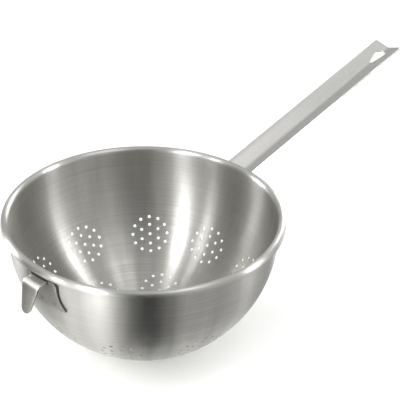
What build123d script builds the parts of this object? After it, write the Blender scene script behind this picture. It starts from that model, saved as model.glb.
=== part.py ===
from build123d import *
import math
import os

# A half-round colander of stainless steel: a pressed bowl with clusters of round holes and
# an edge rolled outwards, a long gutter-shaped handle, and a bent hook opposite the handle
# that rests on the edge of a pot. Handle and hook are spot-welded to the outside of the bowl.
# Millimetres, +Z up. The origin is on the bowl's axis, in the flat face that it stands on.
# The handle points along +X and the hook along -X. A drop is a distance down from the rim.

# Bowl
rim_radius = 126.0
bowl_radius = 120.0
bowl_sheet = 1.0
straight_band = 13.4
rim_lip = 1.5
rim_runs = 6
base_radius = 33.0
base_bend = 6.0
bend_runs = 1

# Holes: clusters of one, six and twelve, in two rows round the bowl and one in its base
hole_radius = 1.5
hole_corners = 6
inner_ring = 9.3
outer_ring = 17.0
inner_count = 6
outer_count = 12
pattern_turn = -4.5
upper_tilt = 54.0
upper_bearings = (5.5, 41.5, 81.5, 120, 149, 180.5, 213.5, 253.5, 291, 329)
lower_tilt = 26.6
lower_count = 6
lower_first = 29.0

# Spot welds, in the gap between the bowl and what is welded to it
weld_gap = 0.3
weld_radius = 2.5
weld_corners = 6
handle_weld_spread = 14.0
handle_weld_drops = (27.0, 38.0)
hook_weld_spread = 28.0
hook_weld_drop = 31.0
hook_weld_count = 3

# Handle: a gutter whose end is bent down into a tab that follows the bowl
handle_sheet = 1.5
handle_length = 248.0
handle_rise = 14.1
handle_drop = 14.4
root_width = 29.5
tip_width = 30.7
root_depth = 8.5
tip_depth = 5.4
fold_radius = 4.0
tip_corner = 3.0
eye_radius = 5.5
eye_point_radius = 1.8
eye_length = 22.0
eye_margin = 10.0
tab_width = 26.0
tab_drop = 46.0
tab_corner = 8.0
rim_clearance = 0.6

# Hook: a bell-shaped leg that follows the bowl, with a tongue folded out between two slits
hook_sheet = 1.5
leg_lean = 4.5
shoulder_drop = 9.6
shoulder_width = 37.6
shoulder_round = 4.5
waist_drop = 17.0
foot_width = 52.4
foot_drop = 37.0
foot_corner = 1.0
slit_width = 1.0
slit_depth = 4.0
fold_drop = 11.2
fold_bend = 2.0
tongue_reach = 128.0
tongue_bend = 5.0
tongue_splay = 16.0
tongue_drop = 37.7
tongue_width = 18.6
tongue_tip_radius = 5.8

# How far a cutter runs past what it cuts
overrun = 1.0

# Heights and radii that follow from the sizes above
inner_radius = bowl_radius - bowl_sheet
ball_height = base_bend + math.sqrt((bowl_radius - base_bend) ** 2 - base_radius**2)
rim_height = ball_height + straight_band
dish_start = -math.degrees(math.acos(base_radius / (bowl_radius - base_bend)))
curl_radius = (rim_radius - inner_radius) / 2
curl_x = rim_radius - curl_radius
curl_z = rim_height - curl_radius
lip_z = curl_z - rim_lip


def arc_points(centre, radius, start, end, runs):
    """Points that divide an arc of the profile into equal runs, at angles in degrees from +X."""
    points = []
    for i in range(runs + 1):
        turn = math.radians(start + (end - start) * i / runs)
        points.append((centre[0] + radius * math.cos(turn), centre[1] + radius * math.sin(turn)))
    return points


def bowl_profile():
    """The sheet's section in the XZ plane. Its small curls are drawn in a few straight runs."""
    with BuildSketch(Plane.XZ) as section:
        with BuildLine():
            for depth in (0, bowl_sheet):
                bend = arc_points(
                    (base_radius, base_bend), base_bend - depth, -90, dish_start, bend_runs
                )
                dish = arc_points((0, ball_height), bowl_radius - depth, dish_start, 0, 2)
                curl = arc_points(
                    (curl_x, curl_z), curl_radius - bowl_sheet + depth, 180, 0, rim_runs
                )
                Polyline((0, depth), *bend)
                ThreePointArc(*dish)
                Polyline(dish[-1], *curl, (curl[-1][0], lip_z))
            Line((0, 0), (0, bowl_sheet))
            Line((rim_radius - bowl_sheet, lip_z), (rim_radius, lip_z))
        make_face()
    return section.sketch


def cluster_places():
    """Distance and direction from a cluster's middle to each of its holes."""
    places = [(0, 0)]
    for ring, count in ((inner_ring, inner_count), (outer_ring, outer_count)):
        for i in range(count):
            places.append((ring, math.radians(90 + pattern_turn + i * 360 / count)))
    return places


def punch(place, direction):
    """The cutter for one hole, with the few sides that the mesh can bear and a round one's area."""
    step = 2 * math.pi / hole_corners
    reach = hole_radius * math.sqrt(step / math.sin(step))
    corners = [(reach * math.cos(i * step), reach * math.sin(i * step)) for i in range(hole_corners)]
    with BuildSketch(Plane(origin=place, z_dir=direction)) as outline:
        with BuildLine():
            for i in range(hole_corners):
                Bezier(corners[i - 1], corners[i])
        make_face()
    return extrude(outline.sketch, amount=bowl_sheet + 2 * overrun)


def wall_cluster(bearing, tilt):
    """Cutters for one cluster in the round wall, each square to the surface."""
    turn = math.radians(bearing)
    lean = math.radians(tilt)
    outward = Vector(math.cos(turn), math.sin(turn), 0)
    sideways = Vector(-math.sin(turn), math.cos(turn), 0)
    middle = outward * math.sin(lean) - Vector(0, 0, math.cos(lean))
    upward = outward * math.cos(lean) + Vector(0, 0, math.sin(lean))
    cutters = []
    for distance, angle in cluster_places():
        swing = distance / bowl_radius
        along = sideways * math.cos(angle) + upward * math.sin(angle)
        direction = middle * math.cos(swing) + along * math.sin(swing)
        place = Vector(0, 0, ball_height) + direction * (inner_radius - overrun)
        cutters.append(punch(place, direction))
    return cutters


def base_cluster():
    """Cutters for the cluster in the flat base."""
    cutters = []
    for distance, angle in cluster_places():
        place = Vector(distance * math.cos(angle), distance * math.sin(angle), -overrun)
        cutters.append(punch(place, Vector(0, 0, 1)))
    return cutters


def make_bowl():
    cutters = base_cluster()
    for bearing in upper_bearings:
        cutters += wall_cluster(bearing, upper_tilt)
    for i in range(lower_count):
        cutters += wall_cluster(lower_first + i * 360 / lower_count, lower_tilt)
    return revolve(bowl_profile(), axis=Axis.Z).cut(*cutters)


def straight_x(distance, lean, height):
    """How far from the axis a sheet is at a height, where it runs straight up from the wall."""
    radius = bowl_radius + distance
    turn = math.radians(lean)
    seat_height = ball_height - radius * math.sin(turn)
    return radius * math.cos(turn) + (height - seat_height) * math.tan(turn)


def wall_shell(near, far, lean, low, high):
    """A shell round the bowl between two distances from its wall and between two heights.

    It follows the wall up to where it leans out by an angle, and from there it runs straight.
    """
    arcs = []
    for distance in (near, far):
        radius = bowl_radius + distance
        start = -math.degrees(math.asin((ball_height - low) / radius))
        arcs.append(arc_points((0, ball_height), radius, start, -lean, 2))
    near_arc, far_arc = arcs
    near_top = (straight_x(near, lean, high), high)
    far_top = (straight_x(far, lean, high), high)
    with BuildSketch(Plane.XZ) as section:
        with BuildLine():
            ThreePointArc(*near_arc)
            Polyline(near_arc[-1], near_top, far_top, far_arc[-1])
            ThreePointArc(*far_arc)
            Line(far_arc[0], near_arc[0])
        make_face()
    return revolve(section.sketch, axis=Axis.Z)


def fold_plane(station):
    """A plane on the handle's fold, at a distance along it from the rim, with X along the handle."""
    rise = math.radians(handle_rise)
    along = Vector(math.cos(rise), 0, math.sin(rise))
    start = Vector(rim_radius, 0, rim_height - handle_drop)
    upward = Vector(-math.sin(rise), 0, math.cos(rise))
    return Plane(origin=start + along * station, x_dir=along, z_dir=upward)


def gutter_section(station):
    """The gutter's section square to the handle, with the upper face's fold at its origin."""
    share = station / handle_length
    half = (root_width + (tip_width - root_width) * share) / 2
    depth = root_depth + (tip_depth - root_depth) * share
    slope = math.atan2(depth, half)
    side = math.sin(slope)
    rise = math.cos(slope)
    middle = fold_radius / rise
    under = fold_radius + handle_sheet
    wing = [
        (fold_radius * side, middle - fold_radius * rise),
        (half, depth),
        (half + handle_sheet * side, depth - handle_sheet * rise),
        (under * side, middle - under * rise),
    ]
    other = [(-x, z) for x, z in wing]
    frame = fold_plane(station)
    with BuildSketch(Plane(origin=frame.origin, x_dir=(0, 1, 0), z_dir=frame.x_dir)) as section:
        with BuildLine():
            ThreePointArc(other[0], (0, middle - fold_radius), wing[0])
            Polyline(*wing)
            ThreePointArc(wing[-1], (0, middle - under), other[-1])
            Polyline(*reversed(other))
        make_face()
    return section.sketch.face()


def eye_cutter():
    """The hanging hole: a teardrop along the fold with its round end near the handle's tip."""
    gap = eye_length - eye_radius - eye_point_radius
    lean = math.asin((eye_radius - eye_point_radius) / gap)
    round_x = -eye_radius * math.sin(lean)
    round_y = eye_radius * math.cos(lean)
    point_x = -gap - eye_point_radius * math.sin(lean)
    point_y = eye_point_radius * math.cos(lean)
    with BuildSketch(fold_plane(handle_length - eye_margin - eye_radius)) as outline:
        with BuildLine():
            ThreePointArc((round_x, -round_y), (eye_radius, 0), (round_x, round_y))
            Line((round_x, round_y), (point_x, point_y))
            ThreePointArc(
                (point_x, point_y), (-gap - eye_point_radius, 0), (point_x, -point_y)
            )
            Line((point_x, -point_y), (round_x, -round_y))
        make_face()
    return extrude(outline.sketch, amount=tip_width, both=True)


def make_tab(top):
    """The end of the handle that is bent down and follows the bowl, with its lower corners round."""
    bottom = rim_height - tab_drop
    with BuildSketch(Plane.YZ) as outline:
        with Locations((0, (top + bottom) / 2)):
            Rectangle(tab_width, top - bottom)
        fillet(outline.vertices().group_by(Axis.Y)[0], tab_corner)
    shell = wall_shell(weld_gap, weld_gap + handle_sheet, 0, bottom - overrun, top)
    return shell & extrude(outline.sketch, amount=rim_radius)


def make_handle():
    root = (bowl_radius - rim_radius) / math.cos(math.radians(handle_rise))
    gutter = loft([gutter_section(root), gutter_section(handle_length)], ruled=True)
    end = gutter.faces().sort_by(Axis((0, 0, 0), fold_plane(0).x_dir))[-1]
    corners = end.edges().sort_by(lambda edge: abs(edge.center().Y))[-2:]
    gutter = fillet(corners, tip_corner)
    core = Pos(0, 0, ball_height) * Sphere(bowl_radius + weld_gap)
    band = Cylinder(bowl_radius + weld_gap, straight_band, align=(Align.CENTER, Align.CENTER, Align.MIN))
    gutter = gutter - core - Pos(0, 0, ball_height) * band - eye_cutter()
    return gutter + make_tab(lip_z - rim_clearance)


def make_leg():
    """The part of the hook that lies on the bowl, with a slit on each side of the tongue's neck."""
    neck = tongue_width / 2
    neck_top = rim_height - fold_drop - fold_bend
    shoulder = shoulder_width / 2
    shoulder_top = rim_height - shoulder_drop
    shoulder_side = shoulder_top - shoulder_round
    waist = rim_height - waist_drop
    foot = rim_height - foot_drop
    slit_low = shoulder_top - slit_depth
    with BuildSketch(Plane.YZ) as outline:
        with BuildLine():
            Polyline(
                (0, foot),
                (0, neck_top),
                (neck, neck_top),
                (neck, slit_low),
                (neck + slit_width, slit_low),
                (neck + slit_width, shoulder_top),
                (shoulder - shoulder_round, shoulder_top),
            )
            TangentArc(
                (shoulder - shoulder_round, shoulder_top), (shoulder, shoulder_side), tangent=(1, 0)
            )
            Line((shoulder, shoulder_side), (shoulder, waist))
            TangentArc((shoulder, waist), (foot_width / 2, foot), tangent=(0, -1))
            Line((foot_width / 2, foot), (0, foot))
        make_face()
        mirror(about=Plane.YZ)
        fillet(outline.vertices().group_by(Axis.Y)[0], foot_corner)
    shell = wall_shell(
        weld_gap, weld_gap + hook_sheet, leg_lean, foot - overrun, shoulder_top
    )
    return shell & extrude(outline.sketch, amount=-rim_radius)


def make_tongue():
    """The strip that is folded out over the top of the leg and hangs down in front of it."""
    middle = hook_sheet / 2
    bend = tongue_bend - middle
    splay = math.radians(tongue_splay)
    line_top = rim_height - fold_drop - middle
    start = rim_height - waist_drop
    knee = tongue_reach + bend * math.tan((math.pi / 2 - splay) / 2)
    fall = tongue_drop - fold_drop + overrun
    with BuildSketch(Plane.XZ) as section:
        with BuildLine() as strip:
            FilletPolyline(
                (straight_x(weld_gap + middle, leg_lean, start), start),
                (straight_x(weld_gap + middle, leg_lean, line_top), line_top),
                (knee, line_top),
                (knee + fall * math.tan(splay), line_top - fall),
                radius=[fold_bend - middle, bend],
            )
        trace(strip.wires(), line_width=hook_sheet)
    ring = revolve(section.sketch, axis=Axis.Z)

    half = tongue_width / 2
    side_top = rim_height - fold_drop - tongue_bend
    tip = rim_height - tongue_drop
    tip_middle = tip + tongue_tip_radius
    fall = side_top - tip_middle
    turn = math.acos(tongue_tip_radius / math.hypot(half, fall)) - math.atan2(fall, half)
    touch = (tongue_tip_radius * math.cos(turn), tip_middle - tongue_tip_radius * math.sin(turn))
    top = rim_height
    with BuildSketch(Plane.YZ) as outline:
        with BuildLine():
            Polyline((-touch[0], touch[1]), (-half, side_top), (-half, top), (half, top))
            Polyline((half, top), (half, side_top), touch)
            ThreePointArc(touch, (0, tip), (-touch[0], touch[1]))
        make_face()
    return ring & extrude(outline.sketch, amount=-2 * rim_radius)


def make_welds(drops, spread, count, sign):
    """Nuggets that fill the gap between the bowl's wall and a sheet on the side that sign gives."""
    filler = wall_shell(0, weld_gap, 0, rim_height - tab_drop, lip_z)
    nuggets = []
    for drop in drops:
        for i in range(count):
            across = (i / (count - 1) - 1 / 2) * spread
            face = Plane(origin=(0, across, rim_height - drop), x_dir=(0, 1, 0), z_dir=(sign, 0, 0))
            bar = extrude(face * RegularPolygon(weld_radius, weld_corners), amount=rim_radius)
            nuggets += (filler & bar).solids()
    return Compound(nuggets)


os.makedirs("parts", exist_ok=True)
nodes = {
    "bowl": make_bowl(),
    "handle": make_handle(),
    "hook": make_leg() + make_tongue(),
    "handle_spot_welds": make_welds(handle_weld_drops, handle_weld_spread, 2, 1),
    "hook_spot_welds": make_welds((hook_weld_drop,), hook_weld_spread, hook_weld_count, -1),
}
for name, shape in nodes.items():
    solids = shape.solids()
    export_step(solids[0] if len(solids) == 1 else Compound(solids), f"parts/{name}.step")
    print(name, len(solids), "solids", round(sum(s.volume for s in solids)), "mm3")
print("rim height", round(rim_height, 2))
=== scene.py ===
import bpy
import bmesh
import math
from mathutils import Matrix, Vector


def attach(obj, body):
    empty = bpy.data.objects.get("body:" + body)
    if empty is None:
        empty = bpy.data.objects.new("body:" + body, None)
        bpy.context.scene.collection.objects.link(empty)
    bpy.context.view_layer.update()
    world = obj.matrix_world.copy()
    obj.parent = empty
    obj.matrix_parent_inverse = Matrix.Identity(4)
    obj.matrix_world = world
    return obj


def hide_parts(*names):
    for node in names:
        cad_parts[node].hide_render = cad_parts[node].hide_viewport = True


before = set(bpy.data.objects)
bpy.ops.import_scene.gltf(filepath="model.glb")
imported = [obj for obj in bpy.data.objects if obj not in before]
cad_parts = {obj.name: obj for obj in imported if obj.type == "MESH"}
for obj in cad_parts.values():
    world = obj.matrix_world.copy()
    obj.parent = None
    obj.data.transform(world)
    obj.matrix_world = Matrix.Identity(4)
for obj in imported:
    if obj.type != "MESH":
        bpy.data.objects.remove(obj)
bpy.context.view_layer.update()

# Lengths are in metres and angles in degrees. The handle's rise alone is turned to radians here.

# The camera, found by fitting the rim's ellipse, the bowl's lower outline and the handle. Its
# distance and its aim are shares of the unit, and its focal length counts the photo's pixels.
VIEW_BEARING = 224.95
VIEW_TILT = 31.158
VIEW_ROLL = 1.461
VIEW_UNIT = 0.126
VIEW_DISTANCE = 8.45
AIM_RIGHT = 0.3902
AIM_UP = 0.0951
FOCAL_LENGTH = 1203.6
PHOTO_WIDTH = 400
SENSOR_WIDTH = 36
VIEW_REACH = 20

# The bowl, its sizes with the same meaning as in the part's source: the lower half of a ball with
# a flat base, a small bend round the base and a curled rim
RIM_RADIUS = 0.12598
BOWL_RADIUS = 0.120
BOWL_SHEET = 0.001
BASE_RADIUS = 0.033
BASE_BEND = 0.006
RIM_RISE = 0.0134
RIM_LIP = 0.0015
BALL_HEIGHT = BASE_BEND + math.sqrt((BOWL_RADIUS - BASE_BEND) ** 2 - BASE_RADIUS**2)
RIM_TOP = BALL_HEIGHT + RIM_RISE
INNER_RADIUS = BOWL_RADIUS - BOWL_SHEET

# How finely the bowl is drawn: rings on its base, steps along its section, segments round it
BASE_RINGS = (0.3, 0.65)
BEND_STEPS = 8
WALL_STEPS = 56
CURL_STEPS = 20
BOWL_SEGMENTS = 240
BOWL_CRISP = 32

# The holes: two rings of them round a middle one make a cluster. One cluster is on the base, the
# others go round the wall in two rows. Tilts are taken from straight down, about the ball's middle.
HOLE_RADIUS = 0.0015
HOLE_SIDES = 24
PUNCH_LENGTH = 4 * BOWL_SHEET
CLUSTER_RINGS = ((0.0093, 6), (0.017, 12))
CLUSTER_TURN = 85.5
UPPER_BEARINGS = (5.5, 41.5, 81.5, 120, 149, 180.5, 213.5, 253.5, 291, 329)
UPPER_TILT = 54.0
LOWER_BEARINGS = tuple(29.0 + 60 * i for i in range(6))
LOWER_TILT = 26.6

# The handle: a folded gutter, a little wider and shallower at its far end, with a tab that is
# welded to the wall. The hook's sheet is as thick as the handle's.
WELD_GAP = 0.0003
HANDLE_SHEET = 0.0015
HANDLE_LENGTH = 0.24799
HANDLE_RISE = math.radians(14.1)
HANDLE_START = Vector((0.126, 0, RIM_TOP - 0.0144))
HANDLE_ALONG = Vector((math.cos(HANDLE_RISE), 0, math.sin(HANDLE_RISE)))
HANDLE_UP = Vector((-math.sin(HANDLE_RISE), 0, math.cos(HANDLE_RISE)))
GUTTER_ROOT = -0.006
GUTTER_WIDTH = 0.0295
GUTTER_WIDENING = 0.0012
GUTTER_DEPTH = 0.0085
GUTTER_FLATTENING = 0.00335
FOLD_RADIUS = 0.004
TIP_CORNER = 0.0016
EYE_WIDE = 0.0055
EYE_NARROW = 0.0018
EYE_LENGTH = 0.022
EYE_MARGIN = 0.01
EYE_CUT = 0.02
TAB_LOW = RIM_TOP - 0.046
TAB_HIGH = RIM_TOP - 0.0056
TAB_HALF_WIDTH = 0.013
TAB_CORNER = 0.008

# How finely the handle is drawn
GUTTER_STEPS = 40
WING_STEPS = (0.35, 0.7, 1)
FOLD_STEPS = 16
TIP_STEPS = 8
EYE_WIDE_STEPS = 28
EYE_NARROW_STEPS = 10
TAB_STEPS = 40
TAB_COLUMNS = 16
CORE_STEPS = 60
CORE_SEGMENTS = 360
CORE_RISE = 0.02

# The handle's and the hook's edges: how wide the sharp ones are eased, how sharp these are, and
# from what angle up an edge is shaded crisp. Points of the hook's mesh in the same place are
# joined first, and so are its faces in the same plane.
HANDLE_EASE = 0.00035
HOOK_EASE = 0.0003
EASED_ANGLE = 50
CRISP_ANGLE = 40
SAME_PLACE = 0.000002
SAME_PLANE = 0.5

# The prints of the spot welds, each a drop below the rim's top and a place across the sheet
PRINT_RADIUS = 0.0021
HOOK_PRINTS = ((0.031, -0.014), (0.031, 0), (0.031, 0.014))
TAB_PRINTS = ((0.027, -0.007), (0.027, 0.007), (0.038, -0.007), (0.038, 0.007))
PRINT_TINT = 0.6
PRINT_DENT = 0.6
PRINT_DEPTH = 0.0003

# The steel's brushing: the range of its pattern that runs from the dark colour to the light one,
# the fine scratches' share in it, and the roughness at both ends
NOISE_LOW = 0.36
NOISE_HIGH = 0.64
SCRATCH_SHARE = 0.6
ROUGHEST = 0.42
SMOOTHEST = 0.28
SCRATCH_DEPTH = 0.0002
QUARTER_TURN = 0.25

# The studio: half the side of its floor and how much the floor glows, where the room gets lighter
# overhead, the height that the lamps face, and the width of the cards' soft near edge
FLOOR_REACH = 15
FLOOR_GLOW = 0.2
DULL = 0.9
ROOM_LOW = 0.2
ROOM_HIGH = 0.85
FACED_HEIGHT = 0.08
CARD_FADE = 0.05

# A Mix node's sockets for colours. They go by number, as the other kinds have the same names.
MIX_FIRST, MIX_SECOND, MIX_RESULT = 6, 7, 2


def aim_camera():
    scene = bpy.context.scene
    bearing = math.radians(VIEW_BEARING)
    tilt = math.radians(VIEW_TILT)
    roll = math.radians(VIEW_ROLL)
    rim_middle = Vector((0, 0, RIM_TOP))
    towards = Vector((math.cos(bearing), math.sin(bearing), 0))
    right = Vector((-math.sin(bearing), math.cos(bearing), 0))
    out = math.cos(tilt) * towards + Vector((0, 0, math.sin(tilt)))
    place = rim_middle + VIEW_DISTANCE * VIEW_UNIT * out
    target = rim_middle + VIEW_UNIT * (AIM_RIGHT * right + Vector((0, 0, AIM_UP)))
    forward = (target - place).normalized()
    across = forward.cross(Vector((0, 0, 1))).normalized()
    upward = across.cross(forward)
    turned_across = math.cos(roll) * across + math.sin(roll) * upward
    turned_upward = -math.sin(roll) * across + math.cos(roll) * upward
    data = bpy.data.cameras.new("camera")
    data.sensor_width = SENSOR_WIDTH
    data.lens = SENSOR_WIDTH * FOCAL_LENGTH / PHOTO_WIDTH
    data.clip_end = VIEW_REACH
    camera = bpy.data.objects.new("camera", data)
    scene.collection.objects.link(camera)
    turn = Matrix((turned_across, turned_upward, -forward)).transposed()
    camera.matrix_world = Matrix.Translation(place) @ turn.to_4x4()
    scene.camera = camera


# Helpers for meshes
def add_object(name, mesh):
    obj = bpy.data.objects.new(name, mesh)
    bpy.context.scene.collection.objects.link(obj)
    return obj


def mesh_from(bm, name):
    mesh = bpy.data.meshes.new(name)
    bm.to_mesh(mesh)
    bm.free()
    return mesh


def solid_from(bm, name):
    """The mesh of a closed shape, with all its faces turned outwards."""
    bmesh.ops.recalc_face_normals(bm, faces=bm.faces)
    return mesh_from(bm, name)


def finished_mesh(obj, name):
    """The evaluated object as a plain mesh."""
    graph = bpy.context.evaluated_depsgraph_get()
    mesh = bpy.data.meshes.new_from_object(obj.evaluated_get(graph))
    mesh.name = name
    return mesh


def soften(mesh, angle):
    """Smooth shading, with edges sharper than the angle kept crisp."""
    mesh.shade_smooth()
    mesh.set_sharp_from_angle(angle=math.radians(angle))


def ease_edges(obj, width):
    """Bevels the sharp edges of a sheet."""
    bevel = obj.modifiers.new("eased edges", "BEVEL")
    bevel.width = width
    bevel.segments = 2
    bevel.limit_method = "ANGLE"
    bevel.angle_limit = math.radians(EASED_ANGLE)
    eased = finished_mesh(obj, obj.name)
    obj.modifiers.remove(bevel)
    obj.data = eased


def dress(obj, steel):
    obj.data.materials.clear()
    obj.data.materials.append(steel)
    soften(obj.data, CRISP_ANGLE)


def arc(middle, radius, start, end, steps):
    points = []
    for i in range(steps + 1):
        turn = math.radians(start + (end - start) * i / steps)
        points.append((middle[0] + radius * math.cos(turn), middle[1] + radius * math.sin(turn)))
    return points


def spin(section, segments, name):
    """A closed solid from a section that starts and ends on the axis."""
    bm = bmesh.new()
    rings = []
    for x, z in section:
        count = segments if x > 0 else 1
        turns = [math.tau * i / count for i in range(count)]
        rings.append([bm.verts.new((x * math.cos(t), x * math.sin(t), z)) for t in turns])
    for low, high in zip(rings, rings[1:]):
        for i in range(segments):
            corners = []
            for vert in (
                low[i % len(low)],
                low[(i + 1) % len(low)],
                high[(i + 1) % len(high)],
                high[i % len(high)],
            ):
                if vert not in corners:
                    corners.append(vert)
            bm.faces.new(corners)
    return solid_from(bm, name)


def skin(rows_near, rows_far, name):
    """A closed sheet between two grids of points."""
    bm = bmesh.new()
    near = [[bm.verts.new(point) for point in row] for row in rows_near]
    far = [[bm.verts.new(point) for point in row] for row in rows_far]
    for grid in (near, far):
        for low, high in zip(grid, grid[1:]):
            for i in range(len(low) - 1):
                bm.faces.new((low[i], low[i + 1], high[i + 1], high[i]))
    for a, b in ((near[0], far[0]), (near[-1], far[-1])):
        for i in range(len(a) - 1):
            bm.faces.new((a[i], a[i + 1], b[i + 1], b[i]))
    for end in (0, -1):
        for i in range(len(near) - 1):
            bm.faces.new((near[i][end], near[i + 1][end], far[i + 1][end], far[i][end]))
    return solid_from(bm, name)


def prism(outline, origin, along, up, reach, name):
    """A straight-sided cutter from an outline in the plane of along and Y."""
    bm = bmesh.new()
    ends = []
    for side in (-reach, reach):
        ends.append([
            bm.verts.new(origin + x * along + Vector((0, y, 0)) + side * up) for x, y in outline
        ])
    count = len(outline)
    for i in range(count):
        j = (i + 1) % count
        bm.faces.new((ends[0][i], ends[0][j], ends[1][j], ends[1][i]))
    bm.faces.new(ends[0])
    bm.faces.new(ends[1])
    return solid_from(bm, name)


# The bowl: its section is spun round, and its holes are punched by Geometry Nodes
def sheet_side(depth):
    """One side of the bowl's sheet from the base to the lip, at a depth in from its outer side."""
    dish = -math.degrees(math.acos(BASE_RADIUS / (BOWL_RADIUS - BASE_BEND)))
    curl = (RIM_RADIUS - INNER_RADIUS) / 2
    middle = (RIM_RADIUS - curl, RIM_TOP - curl)
    radius = curl - BOWL_SHEET + depth
    side = arc((BASE_RADIUS, BASE_BEND), BASE_BEND - depth, -90, dish, BEND_STEPS)
    side += arc((0, BALL_HEIGHT), BOWL_RADIUS - depth, dish, 0, WALL_STEPS)[1:]
    side += arc(middle, radius, 180, 0, CURL_STEPS)
    last = side[-1][0]
    side += [(last, middle[1] - RIM_LIP * share) for share in (0.5, 1)]
    return side


def bowl_section():
    base = [0] + [share * BASE_RADIUS for share in BASE_RINGS]
    outer = [(x, 0) for x in base] + sheet_side(0)
    inner = [(x, BOWL_SHEET) for x in base] + sheet_side(BOWL_SHEET)
    return outer + inner[::-1]


def cluster_places():
    """Each hole of a cluster as a distance from the cluster's middle and an angle in radians."""
    places = [(0, 0)]
    for ring, count in CLUSTER_RINGS:
        for i in range(count):
            places.append((ring, math.radians(CLUSTER_TURN + i * 360 / count)))
    return places


def hole_places():
    """The middle of each hole on the sheet and the direction that it is punched in."""
    places = []
    for distance, angle in cluster_places():
        middle = Vector((distance * math.cos(angle), distance * math.sin(angle), BOWL_SHEET / 2))
        places.append((middle, Vector((0, 0, 1))))
    clusters = [(bearing, UPPER_TILT) for bearing in UPPER_BEARINGS]
    clusters += [(bearing, LOWER_TILT) for bearing in LOWER_BEARINGS]
    for bearing, tilt in clusters:
        turn = math.radians(bearing)
        lean = math.radians(tilt)
        outward = Vector((math.cos(turn), math.sin(turn), 0))
        sideways = Vector((-math.sin(turn), math.cos(turn), 0))
        heart = outward * math.sin(lean) - Vector((0, 0, math.cos(lean)))
        upward = outward * math.cos(lean) + Vector((0, 0, math.sin(lean)))
        for distance, angle in cluster_places():
            swing = distance / BOWL_RADIUS
            along = sideways * math.cos(angle) + upward * math.sin(angle)
            facing = heart * math.cos(swing) + along * math.sin(swing)
            middle = Vector((0, 0, BALL_HEIGHT)) + facing * (BOWL_RADIUS - BOWL_SHEET / 2)
            places.append((middle, facing))
    return places


def punching_tree():
    """Geometry Nodes: a round punch stands on every point and cuts its hole in the sheet."""
    tree = bpy.data.node_groups.new("punch holes", "GeometryNodeTree")
    face = tree.interface
    face.new_socket("Places", in_out="INPUT", socket_type="NodeSocketGeometry")
    sheet = face.new_socket("Sheet", in_out="INPUT", socket_type="NodeSocketObject")
    radius = face.new_socket("Hole Radius", in_out="INPUT", socket_type="NodeSocketFloat")
    sides = face.new_socket("Hole Sides", in_out="INPUT", socket_type="NodeSocketInt")
    length = face.new_socket("Punch Length", in_out="INPUT", socket_type="NodeSocketFloat")
    steel = face.new_socket("Steel", in_out="INPUT", socket_type="NodeSocketMaterial")
    face.new_socket("Geometry", in_out="OUTPUT", socket_type="NodeSocketGeometry")
    nodes, link = tree.nodes, tree.links.new
    given = nodes.new("NodeGroupInput")
    result = nodes.new("NodeGroupOutput")
    punch = nodes.new("GeometryNodeMeshCylinder")
    link(given.outputs["Hole Sides"], punch.inputs["Vertices"])
    link(given.outputs["Hole Radius"], punch.inputs["Radius"])
    link(given.outputs["Punch Length"], punch.inputs["Depth"])
    facing = nodes.new("GeometryNodeInputNamedAttribute")
    facing.data_type = "FLOAT_VECTOR"
    facing.inputs["Name"].default_value = "facing"
    turn = nodes.new("FunctionNodeAlignRotationToVector")
    turn.axis = "Z"
    link(facing.outputs["Attribute"], turn.inputs["Vector"])
    stand = nodes.new("GeometryNodeInstanceOnPoints")
    link(given.outputs["Places"], stand.inputs["Points"])
    link(punch.outputs["Mesh"], stand.inputs["Instance"])
    link(turn.outputs["Rotation"], stand.inputs["Rotation"])
    punches = nodes.new("GeometryNodeRealizeInstances")
    link(stand.outputs["Instances"], punches.inputs["Geometry"])
    blank = nodes.new("GeometryNodeObjectInfo")
    link(given.outputs["Sheet"], blank.inputs["Object"])
    cut = nodes.new("GeometryNodeMeshBoolean")
    cut.operation = "DIFFERENCE"
    cut.solver = "MANIFOLD"
    link(blank.outputs["Geometry"], cut.inputs[0])
    link(punches.outputs["Geometry"], cut.inputs[1])
    whole = nodes.new("GeometryNodeRealizeInstances")
    link(cut.outputs["Mesh"], whole.inputs["Geometry"])
    dressed = nodes.new("GeometryNodeSetMaterial")
    link(whole.outputs["Geometry"], dressed.inputs["Geometry"])
    link(given.outputs["Steel"], dressed.inputs["Material"])
    link(dressed.outputs["Geometry"], result.inputs["Geometry"])
    names = {"sheet": sheet, "radius": radius, "sides": sides, "length": length, "steel": steel}
    return tree, {key: socket.identifier for key, socket in names.items()}


def make_bowl(steel):
    blank = add_object("bowl_blank", spin(bowl_section(), BOWL_SEGMENTS, "bowl_blank"))
    places = hole_places()
    mesh = bpy.data.meshes.new("hole_places")
    mesh.from_pydata([tuple(middle) for middle, _ in places], [], [])
    facing = mesh.attributes.new("facing", "FLOAT_VECTOR", "POINT")
    for i, (_, direction) in enumerate(places):
        facing.data[i].vector = direction
    pattern = add_object("hole_pattern", mesh)
    tree, sockets = punching_tree()
    modifier = pattern.modifiers.new("punch holes", "NODES")
    modifier.node_group = tree
    modifier[sockets["sheet"]] = blank
    modifier[sockets["radius"]] = HOLE_RADIUS
    modifier[sockets["sides"]] = HOLE_SIDES
    modifier[sockets["length"]] = PUNCH_LENGTH
    modifier[sockets["steel"]] = steel
    punched = finished_mesh(pattern, "colander_bowl")
    bpy.data.objects.remove(pattern)
    bpy.data.objects.remove(blank)
    soften(punched, BOWL_CRISP)
    bowl = add_object("colander_bowl", punched)
    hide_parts("bowl")
    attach(bowl, "root")


# The handle: a gutter drawn section by section, its root trimmed to the wall, with a welded tab
def gutter_stations():
    """Distances along the gutter: even steps, then finer ones round the far end's corners."""
    straight = HANDLE_LENGTH - TIP_CORNER - GUTTER_ROOT
    stations = [GUTTER_ROOT + straight * i / GUTTER_STEPS for i in range(GUTTER_STEPS + 1)]
    for i in range(1, TIP_STEPS + 1):
        turn = math.radians(90 * i / TIP_STEPS)
        stations.append(HANDLE_LENGTH - TIP_CORNER * math.cos(turn))
    return [round(station, 7) for station in stations]


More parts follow.
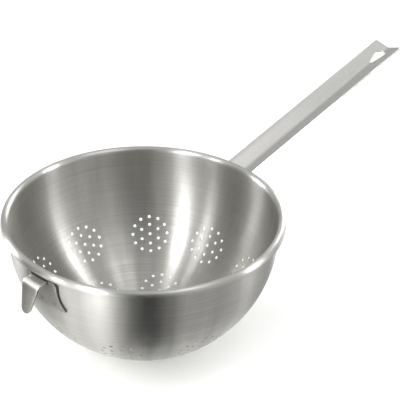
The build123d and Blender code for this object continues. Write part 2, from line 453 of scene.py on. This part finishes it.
def gutter_rows(station):
    """The upper and the lower side of the gutter's section, from edge to edge."""
    share = station / HANDLE_LENGTH
    half = (GUTTER_WIDTH + GUTTER_WIDENING * share) / 2
    depth = GUTTER_DEPTH - GUTTER_FLATTENING * share
    slope = math.atan2(depth, half)
    lean = math.degrees(slope)
    middle = FOLD_RADIUS / math.cos(slope)
    left = max(0.0, TIP_CORNER - (HANDLE_LENGTH - station))
    trim = TIP_CORNER - math.sqrt(max(0.0, TIP_CORNER**2 - left**2))
    rows = []
    for drop in (0, HANDLE_SHEET):
        edge = Vector((half + drop * math.sin(slope), depth - drop * math.cos(slope)))
        edge -= trim * Vector((math.cos(slope), math.sin(slope)))
        bend = arc((0, middle), FOLD_RADIUS + drop, -90 - lean, -90 + lean, FOLD_STEPS)
        start = Vector(bend[-1])
        wing = [tuple(start.lerp(edge, part)) for part in WING_STEPS]
        other = [(-y, z) for y, z in wing[::-1]]
        rows.append([
            HANDLE_START + station * HANDLE_ALONG + Vector((0, y, 0)) + z * HANDLE_UP
            for y, z in other + bend + wing
        ])
    return rows


def tab_rows(distance):
    """Points of the tab's sheet at a distance from the bowl's wall, closer at its round corners."""
    radius = BOWL_RADIUS + distance
    rows = []
    for i in range(TAB_STEPS + 1):
        z = TAB_LOW + (TAB_HIGH - TAB_LOW) * (i / TAB_STEPS) ** 1.5
        left = max(0.0, TAB_CORNER - (z - TAB_LOW))
        half = TAB_HALF_WIDTH - TAB_CORNER + math.sqrt(max(0.0, TAB_CORNER**2 - left**2))
        fall = max(0.0, BALL_HEIGHT - z)
        far = math.sqrt(radius**2 - fall**2)
        row = []
        for j in range(TAB_COLUMNS + 1):
            y = half * (2 * j / TAB_COLUMNS - 1)
            row.append(Vector((math.sqrt(far**2 - y**2), y, z)))
        rows.append(row)
    return rows


def bowl_core():
    """The section of a solid that fills the bowl out to the gap before its welded sheets."""
    wall = arc((0, BALL_HEIGHT), BOWL_RADIUS + WELD_GAP, -90, 0, CORE_STEPS)
    lid = RIM_TOP + CORE_RISE
    return [(0, wall[0][1])] + wall[1:] + [(wall[-1][0], lid), (0, lid)]


def eye_outline():
    """The teardrop outline of the hanging hole, about the middle of its wide end."""
    gap = EYE_LENGTH - EYE_WIDE - EYE_NARROW
    lean = math.degrees(math.asin((EYE_WIDE - EYE_NARROW) / gap))
    outline = arc((0, 0), EYE_WIDE, -90 - lean, 90 + lean, EYE_WIDE_STEPS)
    return outline + arc((-gap, 0), EYE_NARROW, 90 + lean, 270 - lean, EYE_NARROW_STEPS)


def make_handle(steel):
    rows = [gutter_rows(station) for station in gutter_stations()]
    gutter = skin([upper for upper, _ in rows], [lower for _, lower in rows], "gutter")
    handle = add_object("gutter_handle", gutter)
    core = add_object("bowl_core", spin(bowl_core(), CORE_SEGMENTS, "bowl_core"))
    eye_middle = HANDLE_START + (HANDLE_LENGTH - EYE_MARGIN - EYE_WIDE) * HANDLE_ALONG
    punch = prism(eye_outline(), eye_middle, HANDLE_ALONG, HANDLE_UP, EYE_CUT, "eye")
    eye = add_object("eye", punch)
    near, far = tab_rows(WELD_GAP), tab_rows(WELD_GAP + HANDLE_SHEET)
    tab = add_object("tab", skin(near, far, "tab"))
    for tool, operation in ((core, "DIFFERENCE"), (eye, "DIFFERENCE"), (tab, "UNION")):
        step = handle.modifiers.new(operation.lower(), "BOOLEAN")
        step.operation = operation
        step.solver = "MANIFOLD"
        step.object = tool
        shaped = finished_mesh(handle, "gutter_handle")
        handle.modifiers.remove(step)
        handle.data = shaped
        bpy.data.objects.remove(tool)
    ease_edges(handle, HANDLE_EASE)
    dress(handle, steel)
    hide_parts("handle")
    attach(handle, "root")


# The hook: the bent sheet's own form with its cut edges eased
def make_hook(steel):
    bm = bmesh.new()
    bm.from_mesh(bpy.data.objects["hook"].data)
    bmesh.ops.remove_doubles(bm, verts=bm.verts, dist=SAME_PLACE)
    bmesh.ops.dissolve_limit(
        bm,
        angle_limit=math.radians(SAME_PLANE),
        verts=bm.verts,
        edges=bm.edges,
        delimit={"NORMAL"},
    )
    hook = add_object("rest_hook", mesh_from(bm, "rest_hook"))
    ease_edges(hook, HOOK_EASE)
    dress(hook, steel)
    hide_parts("hook")
    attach(hook, "root")


# Helpers for materials
def new_material(name):
    """A new material, its node tree and its shader."""
    material = bpy.data.materials.new(name)
    material.use_nodes = True
    return material, material.node_tree, material.node_tree.nodes["Principled BSDF"]


def shader_group(name, inputs, outputs):
    """A new node group from the labels and kinds of its sockets, and its input and output nodes."""
    tree = bpy.data.node_groups.new(name, "ShaderNodeTree")
    for way, sockets in (("INPUT", inputs), ("OUTPUT", outputs)):
        for label, kind in sockets.items():
            tree.interface.new_socket(label, in_out=way, socket_type=kind)
    return tree, tree.nodes.new("NodeGroupInput"), tree.nodes.new("NodeGroupOutput")


def math_node(tree, operation, first, second=None):
    node = tree.nodes.new("ShaderNodeMath")
    node.operation = operation
    for socket, value in zip(node.inputs, (first, second)):
        if value is None:
            continue
        if isinstance(value, (int, float)):
            socket.default_value = value
        else:
            tree.links.new(value, socket)
    return node.outputs[0]


def largest(tree, values):
    most = values[0]
    for value in values[1:]:
        most = math_node(tree, "MAXIMUM", most, value)
    return most


def spread(tree, value, start, end, low=0, high=1, smooth=True):
    """Runs from low to high while the value runs from start to end."""
    node = tree.nodes.new("ShaderNodeMapRange")
    if smooth:
        node.interpolation_type = "SMOOTHSTEP"
    for label, number in zip(("From Min", "From Max", "To Min", "To Max"), (start, end, low, high)):
        node.inputs[label].default_value = number
    tree.links.new(value, node.inputs["Value"])
    return node.outputs[0]


def mixed(tree, factor, first, second):
    """A colour between the first and the second, which may be a fixed one."""
    node = tree.nodes.new("ShaderNodeMix")
    node.data_type = "RGBA"
    tree.links.new(factor, node.inputs["Factor"])
    tree.links.new(first, node.inputs[MIX_FIRST])
    if isinstance(second, tuple):
        node.inputs[MIX_SECOND].default_value = (*second, 1)
    else:
        tree.links.new(second, node.inputs[MIX_SECOND])
    return node.outputs[MIX_RESULT]


# Finishes
def brushing_group():
    """Fine scratches that run along the first coordinate, with slow clouds under them."""
    tree, given, result = shader_group(
        "brushed steel",
        {
            "Vector": "NodeSocketVector",
            "Along": "NodeSocketFloat",
            "Across": "NodeSocketFloat",
            "Clouds": "NodeSocketFloat",
            "Light": "NodeSocketColor",
            "Dark": "NodeSocketColor",
        },
        {"Color": "NodeSocketColor", "Roughness": "NodeSocketFloat", "Height": "NodeSocketFloat"},
    )
    nodes, link = tree.nodes, tree.links.new
    stretch = nodes.new("ShaderNodeCombineXYZ")
    link(given.outputs["Along"], stretch.inputs["X"])
    link(given.outputs["Across"], stretch.inputs["Y"])
    link(given.outputs["Across"], stretch.inputs["Z"])
    scaled = nodes.new("ShaderNodeVectorMath")
    scaled.operation = "MULTIPLY"
    link(given.outputs["Vector"], scaled.inputs[0])
    link(stretch.outputs[0], scaled.inputs[1])
    scratches = nodes.new("ShaderNodeTexNoise")
    scratches.inputs["Scale"].default_value = 1
    scratches.inputs["Detail"].default_value = 4
    scratches.inputs["Roughness"].default_value = 0.6
    link(scaled.outputs[0], scratches.inputs["Vector"])
    clouds = nodes.new("ShaderNodeTexNoise")
    clouds.inputs["Detail"].default_value = 2
    link(given.outputs["Vector"], clouds.inputs["Vector"])
    link(given.outputs["Clouds"], clouds.inputs["Scale"])
    fine = math_node(tree, "MULTIPLY", scratches.outputs["Fac"], SCRATCH_SHARE)
    slow = math_node(tree, "MULTIPLY", clouds.outputs["Fac"], 1 - SCRATCH_SHARE)
    both = math_node(tree, "ADD", fine, slow)
    light = spread(tree, both, NOISE_LOW, NOISE_HIGH, smooth=False)
    rough = spread(tree, light, 0, 1, ROUGHEST, SMOOTHEST, smooth=False)
    link(mixed(tree, light, given.outputs["Dark"], given.outputs["Light"]), result.inputs["Color"])
    link(rough, result.inputs["Roughness"])
    link(scratches.outputs["Fac"], result.inputs["Height"])
    return tree


def round_coordinates(tree):
    """Turn about the bowl's axis, distance from it and height, for brushing that runs round."""
    nodes, link = tree.nodes, tree.links.new
    split = nodes.new("ShaderNodeSeparateXYZ")
    link(nodes.new("ShaderNodeTexCoord").outputs["Object"], split.inputs[0])
    x, y, z = split.outputs
    squares = [math_node(tree, "MULTIPLY", side, side) for side in (x, y)]
    joined = nodes.new("ShaderNodeCombineXYZ")
    link(math_node(tree, "ARCTAN2", y, x), joined.inputs["X"])
    link(math_node(tree, "SQRT", math_node(tree, "ADD", *squares)), joined.inputs["Y"])
    link(z, joined.inputs["Z"])
    return joined.outputs[0]


def steel_material(name, group, along, across, clouds, light, dark, bump, stretch=0.0, spun=False):
    """Steel with brushing along its X axis or, if it is spun, round the bowl's axis.

    along, across and clouds say how fine the brushing's pattern is, bump how deep it is, and
    stretch how far it draws a highlight out.
    """
    material, tree, shader = new_material(name)
    nodes, link = tree.nodes, tree.links.new
    shader.inputs["Metallic"].default_value = 1
    shader.inputs["Anisotropic"].default_value = stretch
    brushing = nodes.new("ShaderNodeGroup")
    brushing.node_tree = group
    for label, value in (("Along", along), ("Across", across), ("Clouds", clouds)):
        brushing.inputs[label].default_value = value
    for label, color in (("Light", light), ("Dark", dark)):
        brushing.inputs[label].default_value = (*color, 1)
    if spun:
        vector = round_coordinates(tree)
        tangent = nodes.new("ShaderNodeTangent")
        tangent.direction_type = "RADIAL"
        tangent.axis = "Z"
        shader.inputs["Anisotropic Rotation"].default_value = QUARTER_TURN
        link(tangent.outputs[0], shader.inputs["Tangent"])
    else:
        vector = nodes.new("ShaderNodeTexCoord").outputs["Object"]
    link(vector, brushing.inputs["Vector"])
    link(brushing.outputs["Color"], shader.inputs["Base Color"])
    link(brushing.outputs["Roughness"], shader.inputs["Roughness"])
    relief = nodes.new("ShaderNodeBump")
    relief.inputs["Strength"].default_value = bump
    relief.inputs["Distance"].default_value = SCRATCH_DEPTH
    link(brushing.outputs["Height"], relief.inputs["Height"])
    link(relief.outputs[0], shader.inputs["Normal"])
    return material


def tint_steel(material, factor, tint):
    """Blends a tint over the colour that the steel has so far."""
    tree = material.node_tree
    color = tree.nodes["Principled BSDF"].inputs["Base Color"]
    tree.links.new(mixed(tree, factor, color.links[0].from_socket, tint), color)


def paint_highlight(material, low, high, bright, before=1):
    """Paints a highlight: blends a lighter colour over the steel, more and more from low to high,
    up to the X given as before.
    """
    tree = material.node_tree
    split = tree.nodes.new("ShaderNodeSeparateXYZ")
    tree.links.new(tree.nodes.new("ShaderNodeTexCoord").outputs["Object"], split.inputs[0])
    risen = spread(tree, split.outputs["Z"], low, high)
    past = math_node(tree, "LESS_THAN", split.outputs["X"], before)
    tint_steel(material, math_node(tree, "MULTIPLY", risen, past), bright)


def weld_print_group():
    """A round print left by a welding tip: a dull spot with a slightly sunk middle."""
    tree, given, result = shader_group(
        "weld print",
        {"Vector": "NodeSocketVector", "Middle": "NodeSocketVector", "Size": "NodeSocketFloat"},
        {"Mask": "NodeSocketFloat", "Sunk": "NodeSocketFloat"},
    )
    gap = tree.nodes.new("ShaderNodeVectorMath")
    gap.operation = "DISTANCE"
    tree.links.new(given.outputs["Vector"], gap.inputs[0])
    tree.links.new(given.outputs["Middle"], gap.inputs[1])
    share = math_node(tree, "DIVIDE", gap.outputs["Value"], given.outputs["Size"])
    for label, inside, outside in (("Mask", 0.7, 1.5), ("Sunk", 0.6, 1.0)):
        tree.links.new(spread(tree, share, inside, outside, 1, 0), result.inputs[label])
    return tree


def print_places(spots, side):
    """Places on the outer side of a sheet that is welded to the wall, over its nuggets."""
    radius = BOWL_RADIUS + WELD_GAP + HANDLE_SHEET
    places = []
    for drop, across in spots:
        fall = BALL_HEIGHT - (RIM_TOP - drop)
        out = side * math.sqrt(radius**2 - fall**2 - across**2)
        places.append((out, across, BALL_HEIGHT - fall))
    return places


def add_weld_prints(material, group, places, tint):
    """Tints the steel and sinks its surface a little at each place."""
    tree = material.node_tree
    nodes, link = tree.nodes, tree.links.new
    vector = nodes.new("ShaderNodeTexCoord").outputs["Object"]
    marks = []
    for spot in places:
        mark = nodes.new("ShaderNodeGroup")
        mark.node_tree = group
        mark.inputs["Middle"].default_value = spot
        mark.inputs["Size"].default_value = PRINT_RADIUS
        link(vector, mark.inputs["Vector"])
        marks.append(mark)
    mask = largest(tree, [mark.outputs["Mask"] for mark in marks])
    tint_steel(material, math_node(tree, "MULTIPLY", mask, PRINT_TINT), tint)
    dent = nodes.new("ShaderNodeBump")
    dent.invert = True
    dent.inputs["Strength"].default_value = PRINT_DENT
    dent.inputs["Distance"].default_value = PRINT_DEPTH
    link(largest(tree, [mark.outputs["Sunk"] for mark in marks]), dent.inputs["Height"])
    normal = nodes["Principled BSDF"].inputs["Normal"]
    link(normal.links[0].from_socket, dent.inputs["Normal"])
    link(dent.outputs[0], normal)


# The studio: a pale floor, a soft world, tall soft lamps and cards round the object
def make_floor():
    bm = bmesh.new()
    bmesh.ops.create_grid(bm, x_segments=1, y_segments=1, size=FLOOR_REACH)
    mesh = mesh_from(bm, "floor")
    material, tree, shader = new_material("floor_white")
    shader.inputs["Base Color"].default_value = (0.9, 0.9, 0.89, 1)
    shader.inputs["Roughness"].default_value = DULL
    shader.inputs["Specular IOR Level"].default_value = 0
    shader.inputs["Emission Color"].default_value = (1, 1, 1, 1)
    path = tree.nodes.new("ShaderNodeLightPath")
    rays = ("Is Camera Ray", "Is Glossy Ray", "Is Transmission Ray")
    seen = largest(tree, [path.outputs[ray] for ray in rays])
    glow = math_node(tree, "MULTIPLY", seen, FLOOR_GLOW)
    tree.links.new(glow, shader.inputs["Emission Strength"])
    mesh.materials.append(material)
    floor = add_object("floor", mesh)


def make_world(level, overhead):
    """An even pale room that gets lighter overhead."""
    world = bpy.data.worlds.new("studio")
    bpy.context.scene.world = world
    world.use_nodes = True
    tree = world.node_tree
    back = tree.nodes["Background"]
    back.inputs["Color"].default_value = (1, 1, 0.985, 1)
    split = tree.nodes.new("ShaderNodeSeparateXYZ")
    tree.links.new(tree.nodes.new("ShaderNodeTexCoord").outputs["Generated"], split.inputs[0])
    strength = spread(tree, split.outputs["Z"], ROOM_LOW, ROOM_HIGH, level, overhead)
    tree.links.new(strength, back.inputs["Strength"])


def seen_from_bowl(bearing, rise, distance):
    """A place at a bearing and a rise as seen from the height that the lamps face."""
    turn, lift = math.radians(bearing), math.radians(rise)
    flat = distance * math.cos(lift)
    height = FACED_HEIGHT + distance * math.sin(lift)
    return Vector((flat * math.cos(turn), flat * math.sin(turn), height))


def add_lamp(name, foot, head, distance, width, power):
    """A strip lamp from foot to head, each a bearing and a rise, that faces the bowl."""
    low, high = seen_from_bowl(*foot, distance), seen_from_bowl(*head, distance)
    middle = (low + high) / 2
    tall = high - low
    away = (middle - Vector((0, 0, FACED_HEIGHT))).normalized()
    upward = (tall - tall.dot(away) * away).normalized()
    data = bpy.data.lights.new(name, "AREA")
    data.shape = "RECTANGLE"
    data.size = width
    data.size_y = tall.length
    data.energy = power
    lamp = bpy.data.objects.new(name, data)
    bpy.context.scene.collection.objects.link(lamp)
    turn = Matrix((upward.cross(away), upward, away)).transposed()
    lamp.matrix_world = Matrix.Translation(middle) @ turn.to_4x4()


def add_flag(name, bearing, half_angle, near, far, tall, shade, lift, cover):
    """A grey card that lies on the floor and turns up at its far end, seen in reflections only.

    It goes half_angle to each side of the bearing and from near to far, lies lift above the floor
    and reaches up to tall. cover says how dense it is, from its right side round to its left.
    """
    columns = len(cover)
    sections = ((near, lift, 0), (near + CARD_FADE, lift, 1), (far, lift, 1), (far, tall, 1))
    points, density = [], []
    for radius, height, share in sections:
        for i, dense in enumerate(cover):
            turn = math.radians(bearing + half_angle * (2 * i / (columns - 1) - 1))
            points.append((radius * math.cos(turn), radius * math.sin(turn), height))
            density.append(share * dense)
    faces = []
    for start in range(0, 3 * columns, columns):
        for i in range(start, start + columns - 1):
            faces.append((i, i + 1, i + columns + 1, i + columns))
    mesh = bpy.data.meshes.new(name)
    mesh.from_pydata(points, [], faces)
    mesh.attributes.new("card cover", "FLOAT", "POINT").data.foreach_set("value", density)
    material, tree, shader = new_material(name)
    shader.inputs["Base Color"].default_value = (shade, shade, shade, 1)
    shader.inputs["Roughness"].default_value = DULL
    read = tree.nodes.new("ShaderNodeAttribute")
    read.attribute_name = "card cover"
    tree.links.new(read.outputs["Fac"], shader.inputs["Alpha"])
    mesh.materials.append(material)
    flag = add_object(name, mesh)
    flag.visible_camera = False
    flag.visible_diffuse = False
    flag.visible_shadow = False


aim_camera()
bpy.context.scene.view_settings.view_transform = "Standard"

brushed = brushing_group()
bowl_steel = steel_material(
    "bowl_steel", brushed, along=0.8, across=1300, clouds=9,
    light=(0.58, 0.575, 0.55), dark=(0.46, 0.455, 0.435), bump=0.12, stretch=0.93, spun=True,
)
# Painted highlight: the handle's steel is given a lighter colour than the bowl's, for the light on
# its upper face
handle_steel = steel_material(
    "handle_steel", brushed, along=60, across=900, clouds=25,
    light=(0.72, 0.715, 0.70), dark=(0.63, 0.625, 0.61), bump=0.12, stretch=0.3,
)
# Painted shade: the hook's steel is given a darker colour than the bowl's, for the shade under the
# rim
hook_steel = steel_material(
    "hook_steel", brushed, along=500, across=500, clouds=60,
    light=(0.42, 0.41, 0.38), dark=(0.32, 0.31, 0.285), bump=0.2,
)
weld_steel = steel_material(
    "weld_steel", brushed, along=700, across=700, clouds=90,
    light=(0.56, 0.55, 0.53), dark=(0.4, 0.39, 0.38), bump=0.4,
)

# The prints lie on the hook's leg and on the handle's tab. A painted highlight lightens the steel
# along the top of the curl and on the hook's top plate
weld_print = weld_print_group()
add_weld_prints(hook_steel, weld_print, print_places(HOOK_PRINTS, -1), (0.24, 0.225, 0.2))
add_weld_prints(handle_steel, weld_print, print_places(TAB_PRINTS, 1), (0.3, 0.285, 0.26))
# Painted highlight: the top of the curl gets a lighter steel colour for the light that it catches
paint_highlight(bowl_steel, low=RIM_TOP - 0.0055, high=RIM_TOP - 0.0025, bright=(0.64, 0.635, 0.61))
# Painted highlight: the hook's top plate gets a near-white colour for the light that falls on it
paint_highlight(hook_steel, low=0.1130, high=0.1165, bright=(0.95, 0.94, 0.91), before=-0.1226)

make_bowl(bowl_steel)
make_handle(handle_steel)
make_hook(hook_steel)
for node in ("handle_spot_welds", "hook_spot_welds"):
    for slot in bpy.data.objects[node].material_slots:
        slot.material = weld_steel

make_floor()
make_world(level=0.46, overhead=0.68)
add_lamp("lamp_front_left", (195, 2), (172, 52), distance=1.4, width=0.22, power=8.5)
add_lamp("lamp_front_slim", (167, 2), (148, 46), distance=1.4, width=0.09, power=3.1)
add_lamp("lamp_right", (305, 2), (330, 46), distance=1.4, width=0.2, power=5.5)
add_lamp("lamp_left", (115, 1), (107, 24), distance=1.4, width=0.25, power=7)
add_lamp("lamp_behind", (14, 8), (14, 38), distance=1.8, width=0.5, power=7)
add_lamp("lamp_above", (305, 76), (278, 60), distance=1.5, width=0.5, power=1.8)
add_flag(
    "flag_front", bearing=224, half_angle=32, near=0.085, far=0.7, tall=0.7, shade=0.04,
    lift=0.0012, cover=(0, 0, 0.5, 0.9, 1, 1, 0.65, 0.2, 0),
)
add_flag(
    "flag_right", bearing=281.5, half_angle=57, near=0.1, far=1.2, tall=0.01, shade=0.44,
    lift=0.0005, cover=(0, 1, 1, 1, 1, 1, 1, 1, 1),
)
add_flag(
    "flag_beside", bearing=132, half_angle=46, near=0.12, far=0.45, tall=0.002, shade=0.3,
    lift=0.0008, cover=(0, 0.6, 0.85, 0.85, 0.85, 0.85, 0.85, 0.6, 0),
)
add_flag(
    "flag_left", bearing=139, half_angle=12, near=0.4, far=1.0, tall=0.4, shade=0.06,
    lift=0.0005, cover=(1, 1, 1, 1, 1, 1, 1, 1, 1),
)
